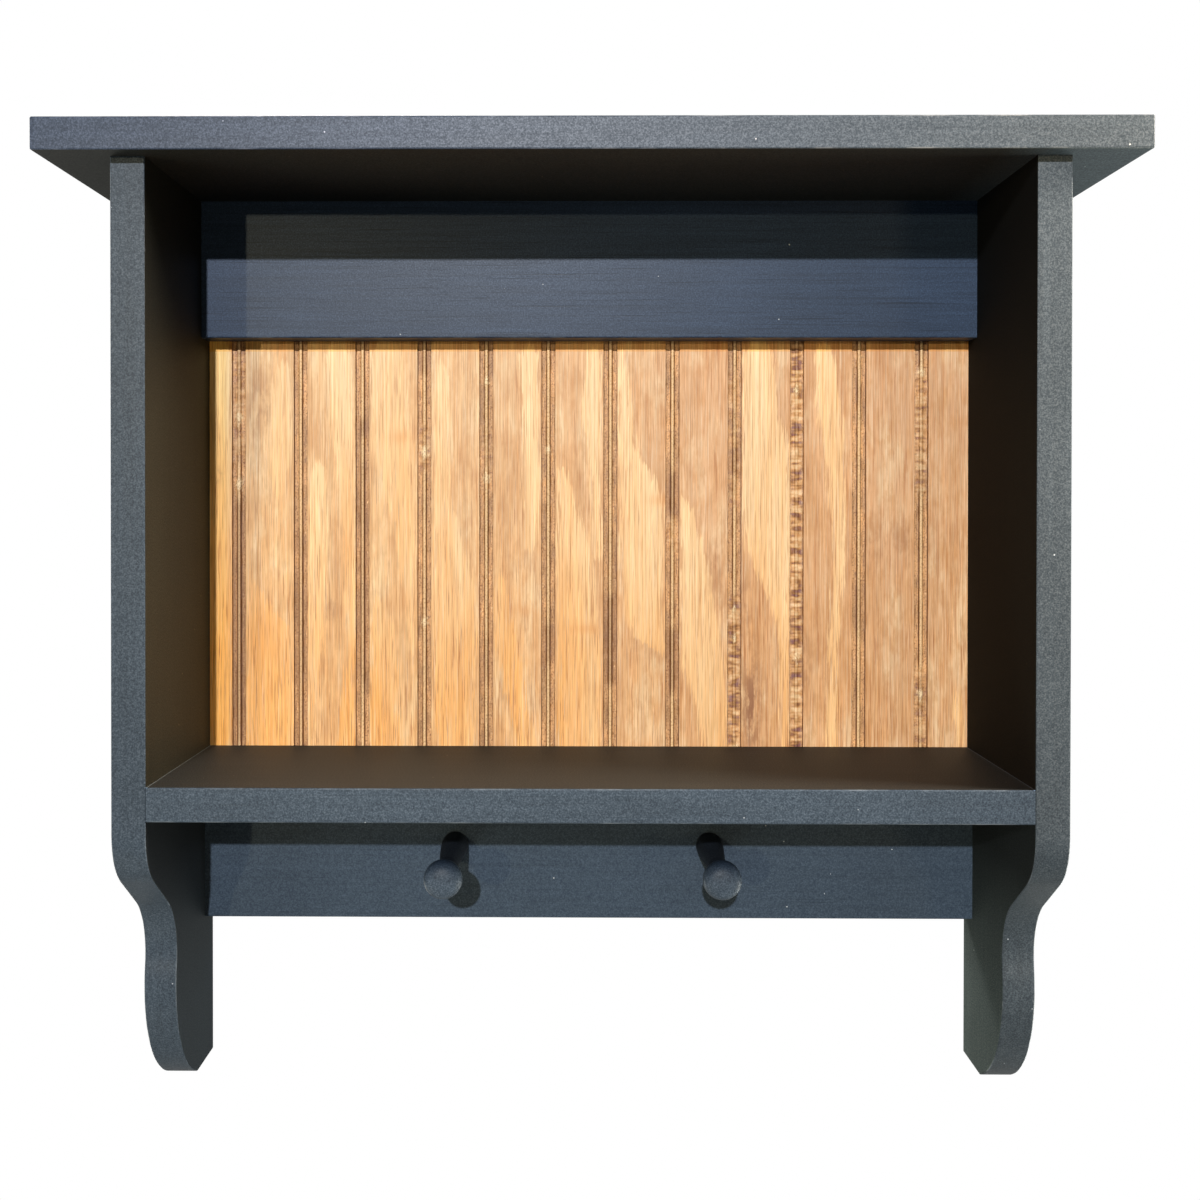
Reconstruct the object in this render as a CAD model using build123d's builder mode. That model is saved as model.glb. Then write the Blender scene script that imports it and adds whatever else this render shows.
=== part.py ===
from build123d import *
from math import cos, radians, sin
import os

os.makedirs("parts", exist_ok=True)

# Frame, in millimetres: X runs along the rails and is 0 midway between the sides,
# Y is 0 on the wall with the front towards -Y, and Z is 0 at the height of the
# hangers' round entry holes.

# case boards
bay_width = 482.6  # clear width between the two sides
side_thickness = 19.05
side_depth = 139.7
hanger_drop = 42.0  # underside of the top down to the hangers' entry holes
shelf_drop = 342.9  # underside of the top down to the shelf's upper face
shelf_thickness = 19.05
leg_drop = 177.8  # how far the legs reach below the shelf
top_thickness = 17.8
top_overhang_side = 38.1
top_overhang_front = 14.5
rail_thickness = 19.05
upper_rail_height = 85.0
peg_rail_height = 87.0
edge_ease = 0.8  # sanded radius along the visible arrises

# scrolled front edge of the legs
brow_gap = 8.0  # straight edge left between the shelf and the start of the scroll
brow_radius = 35.0
brow_turn = 55.0
ankle_inset = 59.3  # narrowest place, measured back from the front edge
ankle_radius = 42.6
ankle_lean = 10.0  # how far past vertical the hollow runs before the toe
foot_flat = 35.8  # flat foot, measured from the wall

# joints
housing_depth = 6.35  # stopped housings that take the shelf's ends
housing_stop = 19.05  # uncut wood in front of a housing
glue_gap = 0.1

# beaded back panel
panel_thickness = 6.35
panel_lap = 6.35  # how far the panel laps into each side's rebate
panel_play = 0.4
groove_start = 18.6  # from the left side's inner face to the first groove's centre
groove_pitch = 39.5
channel_width = 3.3
channel_depth = 2.2
bead_width = 2.2
bead_sink = 0.3

# turned pegs
peg_spacing = 159.5
peg_shift = -3.5  # both pegs sit a little left of the middle
peg_drop = 41.0  # underside of the shelf down to the pegs' axis
peg_projection = 88.9
peg_base_radius = 8.3
peg_swell_radius = 7.4
peg_swell_out = 22.0
peg_neck_radius = 5.3
peg_neck_out = 60.0
peg_cheek_radius = 8.9  # underside of the head, halfway up
peg_cheek_out = 72.5
peg_head_radius = 11.1
peg_head_out = 81.0  # widest place of the head, measured out from the rail
peg_tenon_radius = 6.35
peg_tenon_length = 15.9
tenon_fit = 0.05
tenon_well = 0.8  # room for glue behind a tenon

# keyhole hangers
hanger_inset = 38.1  # from a rail's end in to the hanger's centre
plate_thickness = 1.5
plate_width = 16.0
plate_length = 44.0
entry_radius = 5.0
slot_width = 5.0
slot_rise = 12.0
pocket_margin = 1.6  # extra room round the keyhole, behind the plate
pocket_depth = 5.5  # into the upper rail
plate_fit = 0.1
screw_radius = 1.75
screw_length = 16.0
screw_spacing = 35.0
screw_point = 2.5
recess_width = 0.9
recess_length = 3.6
recess_depth = 0.9

# nails
nail_radius = 0.8
nail_head_radius = 1.15
nail_head_height = 1.2
nail_length = 38.0
nail_set = 0.5  # heads are punched this far below the surface
nail_inset = 25.0
rail_nail_inset = 20.0
top_rail_nail_span = 320.0
brad_radius = 0.6
brad_head_radius = 0.9
brad_head_height = 0.8
brad_length = 19.0
brad_inset = 41.3
rail_brad_rise = 10.0  # above the upper rail's lower edge
rebate_brad_span = 170.0
nail_fit = 0.04
side_nail_count = 3
top_rail_nail_count = 3
brad_count = 5

# places that follow from the sizes above
top_underside = hanger_drop
top_surface = top_underside + top_thickness
front = -side_depth
shelf_surface = top_underside - shelf_drop
shelf_underside = shelf_surface - shelf_thickness
shelf_middle = shelf_surface - shelf_thickness / 2
foot = shelf_underside - leg_drop
inner_x = bay_width / 2
outer_x = inner_x + side_thickness
panel_front = -panel_thickness
upper_rail_bottom = top_underside - upper_rail_height
upper_rail_middle_y = panel_front - rail_thickness / 2
peg_rail_bottom = shelf_underside - peg_rail_height
peg_rail_middle_y = -rail_thickness / 2
peg_z = shelf_underside - peg_drop
peg_xs = (peg_shift - peg_spacing / 2, peg_shift + peg_spacing / 2)
hanger_x = inner_x - hanger_inset
hanger_xs = (-hanger_x, hanger_x)
plate_middle = slot_rise / 2
panel_reach = panel_lap - panel_play
screw_head_radius = screw_radius + plate_thickness
brow_start = shelf_underside - brow_gap
bends_inset = (brow_radius + ankle_radius) * (1 - cos(radians(brow_turn)))
slope_length = (ankle_inset - bends_inset) / sin(radians(brow_turn))


def spread(count, span, middle=0.0):
    """Evenly spaced places over a span, its ends included."""
    return [middle + span * (index / (count - 1) - 0.5) for index in range(count)]


# which way a hole's mouth faces
up = (0, 0, 0)
back = (-90, 0, 0)
forward = (90, 0, 0)


def sideways(sign):
    return (0, sign * 90, 0)


side_nail_ys = spread(side_nail_count, side_depth - 2 * nail_inset, front / 2)
rail_nail_span = upper_rail_height - 2 * rail_nail_inset
rail_nail_zs = spread(2, rail_nail_span, top_underside - upper_rail_height / 2)
peg_rail_nail_span = peg_rail_height - 2 * rail_nail_inset
peg_rail_nail_zs = spread(2, peg_rail_nail_span, shelf_underside - peg_rail_height / 2)
brad_xs = spread(brad_count, bay_width - 2 * brad_inset)
rebate_brad_zs = spread(side_nail_count, rebate_brad_span, top_underside - shelf_drop / 2)
rail_brad_z = upper_rail_bottom + rail_brad_rise
middle_of_side_x = inner_x + side_thickness / 2
rebate_brad_x = inner_x + panel_lap / 2

top_to_side_nails = [
    Location((sign * middle_of_side_x, y, top_surface), up)
    for sign in (-1, 1)
    for y in side_nail_ys
]
top_to_rail_nails = [
    Location((x, upper_rail_middle_y, top_surface), up)
    for x in spread(top_rail_nail_count, top_rail_nail_span)
]


def nails_through_side(sign, ys, zs):
    return [Location((sign * outer_x, y, z), sideways(sign)) for y in ys for z in zs]


def shelf_nail_places(sign):
    return nails_through_side(sign, side_nail_ys, [shelf_middle])


def upper_rail_nail_places(sign):
    return nails_through_side(sign, [upper_rail_middle_y], rail_nail_zs)


def peg_rail_nail_places(sign):
    return nails_through_side(sign, [peg_rail_middle_y], peg_rail_nail_zs)


def rebate_brad_places(sign):
    return [Location((sign * rebate_brad_x, 0, z), back) for z in rebate_brad_zs]


rail_brad_places = [Location((x, 0, rail_brad_z), back) for x in brad_xs]
shelf_brad_places = [Location((x, 0, shelf_middle), back) for x in brad_xs]

hanger_screw_places = [
    Location((x, 0, z), back)
    for x in hanger_xs
    for z in spread(2, screw_spacing, plate_middle)
]


def drill_for_nails(places):
    with Locations(*places):
        CounterBoreHole(
            radius=nail_radius + nail_fit,
            counter_bore_radius=nail_head_radius + nail_fit,
            counter_bore_depth=nail_set + nail_head_height,
            depth=nail_set + nail_length,
        )


def drill_for_brads(places):
    with Locations(*places):
        CounterBoreHole(
            radius=brad_radius + nail_fit,
            counter_bore_radius=brad_head_radius + nail_fit,
            counter_bore_depth=nail_set + brad_head_height,
            depth=nail_set + brad_length,
        )


def drill_for_screws(places):
    with Locations(*places):
        Hole(radius=screw_radius + nail_fit, depth=screw_length + nail_fit)


def pocket_outline():
    """Room behind both keyholes for the heads of the screws in the wall."""
    with Locations(*[(x, slot_rise / 2) for x in hanger_xs]):
        SlotCenterToCenter(slot_rise, 2 * (entry_radius + pocket_margin), rotation=90)


def plate_outline(xs, margin=0.0):
    """Round-ended outline of the hanger plates, grown by a margin."""
    with Locations(*[(x, plate_middle) for x in xs]):
        SlotOverall(plate_length + 2 * margin, plate_width + 2 * margin, rotation=90)


def build_side(sign):
    """One side board; sign is -1 for the left and 1 for the right."""
    with BuildPart() as side:
        # seen from the end: straight front, S-shaped leg, rounded toe, flat foot
        with BuildSketch(Plane.YZ.offset(sign * inner_x)):
            with BuildLine():
                front_edge = Line((front, top_underside), (front, brow_start))
                brow = JernArc(front_edge @ 1, front_edge % 1, brow_radius, brow_turn)
                slope = PolarLine(brow @ 1, slope_length, direction=brow % 1)
                ankle = JernArc(slope @ 1, slope % 1, ankle_radius, -brow_turn - ankle_lean)
                toe = TangentArc(ankle @ 1, (-foot_flat, foot), tangent=ankle % 1)
                sole = Line(toe @ 1, (0, foot))
                back_edge = Line(sole @ 1, (0, top_underside))
                Line(back_edge @ 1, front_edge @ 0)
            make_face()
        extrude(amount=sign * side_thickness)

        # sanded arrises all round, except where the top and the wall cover them
        flats = side.faces().filter_by(Axis.X)
        arrises = [
            edge
            for edge in flats.edges()
            if edge.center().Z < top_underside - edge_ease and edge.center().Y < -edge_ease
        ]
        fillet(arrises, radius=edge_ease)

        # stopped housing for the shelf's end
        housing_length = side_depth - housing_stop - panel_thickness
        with BuildSketch(Plane.YZ.offset(sign * inner_x)):
            with Locations((panel_front - housing_length / 2, shelf_middle)):
                Rectangle(housing_length, shelf_thickness)
        extrude(amount=sign * housing_depth, mode=Mode.SUBTRACT)

        # rebate that the beaded panel's edge lies in, down to the shelf's underside
        rebate_height = top_underside - shelf_underside
        with BuildSketch(Plane.YZ.offset(sign * inner_x)):
            with Locations((panel_front / 2, shelf_underside + rebate_height / 2)):
                Rectangle(panel_thickness, rebate_height)
        extrude(amount=sign * panel_lap, mode=Mode.SUBTRACT)

        drill_for_nails(top_to_side_nails)
        drill_for_nails(shelf_nail_places(sign))
        drill_for_nails(upper_rail_nail_places(sign))
        drill_for_nails(peg_rail_nail_places(sign))
        drill_for_brads(rebate_brad_places(sign))
    return side


left_side = build_side(-1)
left_side.part.label = "left_side"
export_step(left_side.part, "parts/left_side.step")

right_side = build_side(1)
right_side.part.label = "right_side"
export_step(right_side.part, "parts/right_side.step")


# top board, overhanging the front and both sides
with BuildPart() as top_board:
    with BuildSketch(Plane.XY.offset(top_underside)):
        with Locations((0, (front - top_overhang_front) / 2)):
            Rectangle(2 * (outer_x + top_overhang_side), side_depth + top_overhang_front)
    extrude(amount=top_thickness)
    wall_edges = top_board.edges().group_by(Axis.Y)[-1]
    fillet(top_board.edges() - wall_edges, radius=edge_ease)
    drill_for_nails(top_to_side_nails + top_to_rail_nails)

top_board.part.label = "top_board"
export_step(top_board.part, "parts/top_board.step")


# shelf, with a tongue at each end for the housings
with BuildPart() as shelf:
    with BuildSketch(Plane.XY.offset(shelf_underside)):
        with Locations((0, (front + panel_front) / 2)):
            Rectangle(bay_width, side_depth - panel_thickness)
        tongue_length = side_depth - housing_stop - panel_thickness - glue_gap
        with Locations((0, panel_front - tongue_length / 2)):
            Rectangle(bay_width + 2 * (housing_depth - glue_gap), tongue_length)
    extrude(amount=shelf_thickness)
    fillet(shelf.edges().filter_by(Axis.X).group_by(Axis.Y)[0], radius=edge_ease)
    drill_for_nails(shelf_nail_places(-1) + shelf_nail_places(1))
    drill_for_brads(shelf_brad_places)

shelf.part.label = "shelf"
export_step(shelf.part, "parts/shelf.step")


# rail under the top, which carries the hangers' load
with BuildPart() as upper_rail:
    with BuildSketch(Plane.XY.offset(upper_rail_bottom)):
        with Locations((0, upper_rail_middle_y)):
            Rectangle(bay_width, rail_thickness)
    extrude(amount=upper_rail_height)
    front_edges = upper_rail.edges().filter_by(Axis.X).group_by(Axis.Y)[0]
    fillet(front_edges.sort_by(Axis.Z)[0], radius=edge_ease)
    with BuildSketch(Plane.XZ.offset(panel_thickness)):
        pocket_outline()
    extrude(amount=pocket_depth, mode=Mode.SUBTRACT)
    drill_for_screws(hanger_screw_places)
    drill_for_nails(upper_rail_nail_places(-1) + upper_rail_nail_places(1))
    drill_for_nails(top_to_rail_nails)
    drill_for_brads(rail_brad_places)

upper_rail.part.label = "upper_rail"
export_step(upper_rail.part, "parts/upper_rail.step")


# rail under the shelf, flush with the back edges of the sides, bored for the pegs
with BuildPart() as peg_rail:
    with BuildSketch(Plane.XY.offset(peg_rail_bottom)):
        with Locations((0, peg_rail_middle_y)):
            Rectangle(bay_width, rail_thickness)
    extrude(amount=peg_rail_height)
    front_edges = peg_rail.edges().filter_by(Axis.X).group_by(Axis.Y)[0]
    fillet(front_edges.sort_by(Axis.Z)[0], radius=edge_ease)
    with Locations(*[Location((x, -rail_thickness, peg_z), forward) for x in peg_xs]):
        Hole(radius=peg_tenon_radius + tenon_fit, depth=peg_tenon_length + tenon_well)
    drill_for_nails(peg_rail_nail_places(-1) + peg_rail_nail_places(1))

peg_rail.part.label = "peg_rail"
export_step(peg_rail.part, "parts/peg_rail.step")


# beaded plywood back, grooved on its front face
groove_width = 2 * channel_width + bead_width
groove_count = int((bay_width - groove_start - groove_width / 2) // groove_pitch) + 1
groove_xs = [groove_start - inner_x + groove_pitch * index for index in range(groove_count)]
channel_offset = (bead_width + channel_width) / 2

with BuildPart() as beadboard_panel:
    with BuildSketch(Plane.XY.offset(shelf_underside)):
        with Locations((0, panel_front / 2)):
            Rectangle(bay_width + 2 * panel_reach, panel_thickness)
        with Locations(*[(x, panel_front + bead_sink / 2) for x in groove_xs]):
            Rectangle(groove_width, bead_sink, mode=Mode.SUBTRACT)
        for shift in (-channel_offset, channel_offset):
            with Locations(*[(x + shift, panel_front + channel_depth / 2) for x in groove_xs]):
                Rectangle(channel_width, channel_depth, mode=Mode.SUBTRACT)
    extrude(amount=top_underside - shelf_underside)
    with BuildSketch(Plane.XZ):
        plate_outline(hanger_xs, plate_fit)
    extrude(amount=plate_thickness, mode=Mode.SUBTRACT)
    with BuildSketch(Plane.XZ):
        pocket_outline()
    extrude(amount=panel_thickness, mode=Mode.SUBTRACT)
    drill_for_screws(hanger_screw_places)
    for sign in (-1, 1):
        drill_for_brads(rebate_brad_places(sign))
    drill_for_brads(rail_brad_places + shelf_brad_places)

beadboard_panel.part.label = "beadboard_panel"
export_step(beadboard_panel.part, "parts/beadboard_panel.step")


def build_peg(x):
    """A turned peg: round tenon, tapering stem, narrow neck and mushroom head."""
    axis_start = (x, -rail_thickness, peg_z)
    profile_plane = Plane(origin=axis_start, x_dir=(1, 0, 0), z_dir=(0, 0, -1))
    with BuildPart() as peg:
        with BuildSketch(profile_plane):
            with BuildLine():
                Polyline(
                    (0, -peg_tenon_length),
                    (peg_tenon_radius, -peg_tenon_length),
                    (peg_tenon_radius, 0),
                    (peg_base_radius, 0),
                )
                Spline(
                    (peg_base_radius, 0),
                    (peg_swell_radius, peg_swell_out),
                    (peg_neck_radius, peg_neck_out),
                    tangents=((0, 1), (0, 1)),
                )
                Spline(
                    (peg_neck_radius, peg_neck_out),
                    (peg_cheek_radius, peg_cheek_out),
                    (peg_head_radius, peg_head_out),
                    tangents=((0, 1), (0, 1)),
                )
                Spline(
                    (peg_head_radius, peg_head_out),
                    (0, peg_projection),
                    tangents=((0, 1), (-1, 0)),
                )
                Line((0, peg_projection), (0, -peg_tenon_length))
            make_face()
        revolve(axis=Axis(axis_start, (0, -1, 0)))
    return peg


left_peg = build_peg(peg_xs[0])
left_peg.part.label = "left_peg"
export_step(left_peg.part, "parts/left_peg.step")

right_peg = build_peg(peg_xs[1])
right_peg.part.label = "right_peg"
export_step(right_peg.part, "parts/right_peg.step")


def build_hanger(x):
    """A keyhole plate, let in flush with the back: round entry, slot rising from it."""
    with BuildPart() as hanger:
        with BuildSketch(Plane.XZ):
            plate_outline([x])
            with Locations((x, 0)):
                Circle(entry_radius, mode=Mode.SUBTRACT)
            with Locations((x, slot_rise / 2)):
                SlotCenterToCenter(slot_rise, slot_width, rotation=90, mode=Mode.SUBTRACT)
        extrude(amount=plate_thickness)
        with Locations(*[place for place in hanger_screw_places if place.position.X == x]):
            CounterSinkHole(
                radius=screw_radius + nail_fit,
                counter_sink_radius=screw_head_radius + nail_fit,
                counter_sink_angle=90,
            )
    return hanger


left_hanger = build_hanger(-hanger_x)
left_hanger.part.label = "left_hanger"
export_step(left_hanger.part, "parts/left_hanger.step")

right_hanger = build_hanger(hanger_x)
right_hanger.part.label = "right_hanger"
export_step(right_hanger.part, "parts/right_hanger.step")


# flat-headed screw that points down, its head's face at the origin
with BuildPart() as hanger_screw:
    with BuildSketch(Plane.XZ):
        with BuildLine():
            Polyline(
                (0, 0),
                (screw_head_radius, 0),
                (screw_radius, -plate_thickness),
                (screw_radius, screw_point - screw_length),
                (0, -screw_length),
                close=True,
            )
        make_face()
    revolve(axis=Axis.Z)
    with BuildSketch():
        Rectangle(recess_length, recess_width)
        Rectangle(recess_width, recess_length)
    extrude(amount=-recess_depth, mode=Mode.SUBTRACT)


def headed_nail(radius, head_radius, head_height, length):
    """Barrel-headed nail that points down, punched in below the origin."""
    point_length = 2 * radius
    with BuildPart() as nail:
        with BuildSketch(Plane.XZ):
            with BuildLine():
                Polyline(
                    (0, -nail_set),
                    (head_radius, -nail_set),
                    (head_radius, -nail_set - head_height),
                    (radius, -nail_set - head_height),
                    (radius, point_length - nail_set - length),
                    (0, -nail_set - length),
                    close=True,
                )
            make_face()
        revolve(axis=Axis.Z)
    return nail


finish_nail = headed_nail(nail_radius, nail_head_radius, nail_head_height, nail_length)
panel_brad = headed_nail(brad_radius, brad_head_radius, brad_head_height, brad_length)

# each row of like fasteners is one group of separate solids
fastener_groups = {
    "hanger_screws": (hanger_screw, hanger_screw_places),
    "top_nails": (finish_nail, top_to_side_nails + top_to_rail_nails),
    "shelf_nails": (finish_nail, shelf_nail_places(-1) + shelf_nail_places(1)),
    "upper_rail_nails": (finish_nail, upper_rail_nail_places(-1) + upper_rail_nail_places(1)),
    "peg_rail_nails": (finish_nail, peg_rail_nail_places(-1) + peg_rail_nail_places(1)),
    "panel_brads": (
        panel_brad,
        rail_brad_places + shelf_brad_places + rebate_brad_places(-1) + rebate_brad_places(1),
    ),
}

for name, (fastener, places) in fastener_groups.items():
    with BuildPart() as group:
        with Locations(*places):
            add(fastener.part)
    group.part.label = name
    export_step(group.part, f"parts/{name}.step")
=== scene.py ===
import math

import bmesh
import bpy
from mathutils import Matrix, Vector, noise


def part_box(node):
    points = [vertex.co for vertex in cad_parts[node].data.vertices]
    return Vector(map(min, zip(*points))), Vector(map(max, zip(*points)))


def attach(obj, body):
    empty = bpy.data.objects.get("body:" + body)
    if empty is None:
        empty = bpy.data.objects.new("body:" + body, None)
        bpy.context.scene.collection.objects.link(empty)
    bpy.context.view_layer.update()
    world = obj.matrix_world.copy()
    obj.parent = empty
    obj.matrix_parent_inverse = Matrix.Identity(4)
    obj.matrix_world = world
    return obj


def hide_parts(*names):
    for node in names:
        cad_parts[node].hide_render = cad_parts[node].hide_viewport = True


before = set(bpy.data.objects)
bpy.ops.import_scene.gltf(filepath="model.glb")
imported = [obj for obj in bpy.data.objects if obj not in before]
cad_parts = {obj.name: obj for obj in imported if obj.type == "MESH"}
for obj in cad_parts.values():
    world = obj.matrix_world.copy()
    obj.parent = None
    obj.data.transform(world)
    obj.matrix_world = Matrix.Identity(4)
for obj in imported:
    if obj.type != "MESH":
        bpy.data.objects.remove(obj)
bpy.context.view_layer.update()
print("frame loaded:", len(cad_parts), "nodes")

mm = 0.001
near = 1 * mm  # an edge this close to a face belongs to it
past = 2 * mm  # how far a cutter stands out of what it cuts
halfClear = 241.3 * mm  # from the middle to the inside of a side board


camera = {
    "place": (-0.0061, -0.8978, -0.1456),
    "turn": (89.516, -0.049, 0.545),  # degrees
    "lens": 42.0,  # mm
    "sensor": 36.0,  # mm
    "shiftRight": 0.0292,
    "shiftUp": -0.0713,
    "nearest": 0.05,
}

lensData = bpy.data.cameras.new("camera")
lensData.lens = camera["lens"]
lensData.sensor_width = camera["sensor"]
lensData.shift_x = camera["shiftRight"]
lensData.shift_y = camera["shiftUp"]
lensData.clip_start = camera["nearest"]
lensData.dof.use_dof = False
cameraObject = bpy.data.objects.new("camera", lensData)
cameraObject.location = camera["place"]
cameraObject.rotation_euler = [math.radians(angle) for angle in camera["turn"]]
bpy.context.scene.collection.objects.link(cameraObject)
bpy.context.scene.camera = cameraObject
bpy.context.scene.view_settings.view_transform = "Standard"
print("camera placed")


# small helpers for colours and nodes
def linear(hexColour):
    parts = [int(hexColour[i:i + 2], 16) / 255 for i in (1, 3, 5)]
    return (*[p / 12.92 if p <= 0.04045 else ((p + 0.055) / 1.055) ** 2.4 for p in parts], 1)


def put(tree, kind, inputs=(), stops=(), **settings):
    # inputs are a list in the sockets' order or a dictionary; a node given as an input stands for
    # its own result, and a hex colour for its linear value
    made = tree.nodes.new("ShaderNode" + kind)
    for key, value in settings.items():
        setattr(made, key, value)
    for key, value in (inputs.items() if isinstance(inputs, dict) else enumerate(inputs)):
        if isinstance(value, bpy.types.Node):
            value = next(socket for socket in value.outputs if socket.enabled)
        if isinstance(value, bpy.types.NodeSocket):
            tree.links.new(value, made.inputs[key])
        else:
            made.inputs[key].default_value = linear(value) if isinstance(value, str) else value
    if stops:
        elements = made.color_ramp.elements
        while len(elements) < len(stops):
            elements.new(0.5)
        for element, (place, colour) in zip(elements, stops):
            element.position = place
            element.color = linear(colour) if isinstance(colour, str) else (colour, colour, colour, 1)
    return made


# settings of a Mix of colours: socket 0 is the share, 6 the colour below and 7 the colour on it
laidOn = {"data_type": "RGBA"}
tinting = {"data_type": "RGBA", "blend_type": "MULTIPLY"}


def newMaterial(name):
    material = bpy.data.materials.new(name)
    material.use_nodes = True
    material.node_tree.nodes.clear()
    return material, material.node_tree


def cellsPerMetre(width, length, grain):
    # along each axis, for cells of this width and length in mm with the grain along one axis
    return [1000 / (length if axis == grain else width) for axis in range(3)]


# satin enamel, rolled on sanded pine: a fine orange-peel stipple, a soft sheen, faint grain
# telegraphing through, and rubbed arrises
enamel = {
    "stippleSize": 0.85,  # mm, spacing of the roller's stipple
    "grainWidth": 0.6,  # mm, open pores along the grain
    "grainLength": 55.0,  # mm
    "bandWidth": 3.2,  # mm, early and late wood under the film
    "bandLength": 130.0,  # mm
    "cloudSize": 70.0,  # mm, slow drift of the film's thickness
    "dustSpacing": 16.0,  # mm, specks of dust caught in the film
    "dustRadius": 0.448,  # mm
    "rubSize": 38.46,  # mm, patches of wear along the arrises
    "roughness": 0.40,
    "specular": 0.16,
    "bump": 0.035,  # mm
    "bumpStrength": 0.55,
}


def satinEnamelOnPine(name, grain, shade, areas=()):
    # grain is the index of the axis that the grain runs along; each area is a band of places along one axis
    # with painted light and shade, tinted from one end to the other along a second axis
    material, tree = newMaterial(name)
    place = put(tree, "TexCoord").outputs["Object"]
    poreCells = cellsPerMetre(enamel["grainWidth"], enamel["grainLength"], grain)
    bandCells = cellsPerMetre(enamel["bandWidth"], enamel["bandLength"], grain)
    alongPores = put(tree, "VectorMath", [place, poreCells], operation="MULTIPLY")
    alongBands = put(tree, "VectorMath", [place, bandCells], operation="MULTIPLY")
    stipple = put(tree, "TexNoise", {
        "Vector": place, "Scale": 1000 / enamel["stippleSize"], "Detail": 2.0, "Roughness": 0.6})
    pores = put(tree, "TexNoise", {
        "Vector": alongPores, "Scale": 1.0, "Detail": 2.0, "Roughness": 0.5, "Distortion": 0.1})
    bands = put(tree, "TexNoise", {"Vector": alongBands, "Scale": 1.0, "Detail": 3.0, "Roughness": 0.6})
    clouds = put(tree, "TexNoise", {"Vector": place, "Scale": 1000 / enamel["cloudSize"], "Detail": 3.0})

    film = put(tree, "ValToRGB", [stipple], [
        (0.30, shade["low"]), (0.50, shade["mid"]), (0.70, shade["high"])])
    drift = put(tree, "MapRange", [clouds, 0.3, 0.7, 0.92, 1.08])
    telegraph = put(tree, "MapRange", [bands, 0.3, 0.7, 1 - shade["band"], 1 + shade["band"]])
    pore = put(tree, "ValToRGB", [pores], [(0.60, 0.0), (0.72, 1.0)])
    poreShare = put(tree, "Math", [pore, shade["pores"]], operation="MULTIPLY")
    dust = put(tree, "TexVoronoi", {"Vector": place, "Scale": 1000 / enamel["dustSpacing"]})
    speck = put(tree, "Math", [dust, enamel["dustRadius"] / enamel["dustSpacing"]], operation="LESS_THAN")

    # rubbed arrises: the attribute is 1 on the rounded edges only
    arris = put(tree, "Attribute", attribute_name="arris").outputs["Fac"]
    wear = put(tree, "TexNoise", {
        "Vector": place, "Scale": 1000 / enamel["rubSize"], "Detail": 4.0, "Roughness": 0.7})
    rub = put(tree, "ValToRGB", [wear], [(0.50, 0.0), (0.64, 1.0)])
    rub = put(tree, "Math", [rub, arris], operation="MULTIPLY")
    rub = put(tree, "Math", [rub, shade["rub"]], operation="MULTIPLY")
    for share, colour, way in (
            (1.0, drift, tinting), (1.0, telegraph, tinting), (poreShare, shade["pore"], laidOn),
            (speck, shade["dust"], laidOn), (rub, shade["worn"], laidOn)):
        film = put(tree, "Mix", {0: share, 6: film, 7: colour}, **way)

    flatter = 0.0
    apart = put(tree, "SeparateXYZ", [place]).outputs
    # painted light and shade, one area at a time
    for area in areas:
        band = put(tree, "Math", [apart[area["axis"]], area["middle"], area["reach"]], operation="COMPARE")
        along = put(tree, "MapRange", [apart[area["along"]], area["start"], area["stop"]])
        tint = put(tree, "Mix", {0: along, 6: area["first"], 7: area["last"]}, **laidOn)
        film = put(tree, "Mix", {0: band, 6: film, 7: tint}, **tinting)
        flatter = put(tree, "Math", [band, area["flatter"], flatter], operation="MULTIPLY_ADD")

    relief = put(tree, "Math", [pore, -0.8, stipple], operation="MULTIPLY_ADD")
    bump = put(tree, "Bump", {
        "Strength": enamel["bumpStrength"], "Distance": enamel["bump"] * mm, "Height": relief})
    gloss = put(tree, "MapRange", [stipple, 0.3, 0.7, enamel["roughness"] + 0.05, enamel["roughness"] - 0.04])
    gloss = put(tree, "Math", [gloss, flatter], operation="ADD")
    surface = put(tree, "BsdfPrincipled", {
        "Base Color": film, "Roughness": gloss, "Normal": bump, "IOR": 1.5,
        "Specular IOR Level": enamel["specular"]})
    put(tree, "OutputMaterial", [surface])
    return material


caseShade = {
    "low": "#29323b", "mid": "#3a444e", "high": "#4f5963", "pore": "#1b232b", "dust": "#a9b0b6",
    "worn": "#8c949b",
    "pores": 0.3, "rub": 0.45, "band": 0.10,  # how strongly pores, wear and grain bands show
}
# painted light: copies of the case's paint drawn warmer for the right side, lighter for the shelf, and darker
# and bluer for the upper rail, for how light falls on each
rightLitPaint = dict(caseShade, low="#2a3137", mid="#3b4349", high="#51585d")
shelfLitPaint = dict(caseShade, low="#2d3640", mid="#3f4a55", high="#56616c")
upperShadedPaint = dict(caseShade, low="#1f2c41", mid="#2a394e", high="#384a62", pore="#121a26",
                  pores=0.6, rub=0.3, band=0.16)
railShade = dict(upperShadedPaint, low="#2b3645", mid="#384450", high="#465361", pore="#151d27",
                 pores=0.3, band=0.07)
pegShade = dict(caseShade, pores=0.08, rub=0.0)
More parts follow.
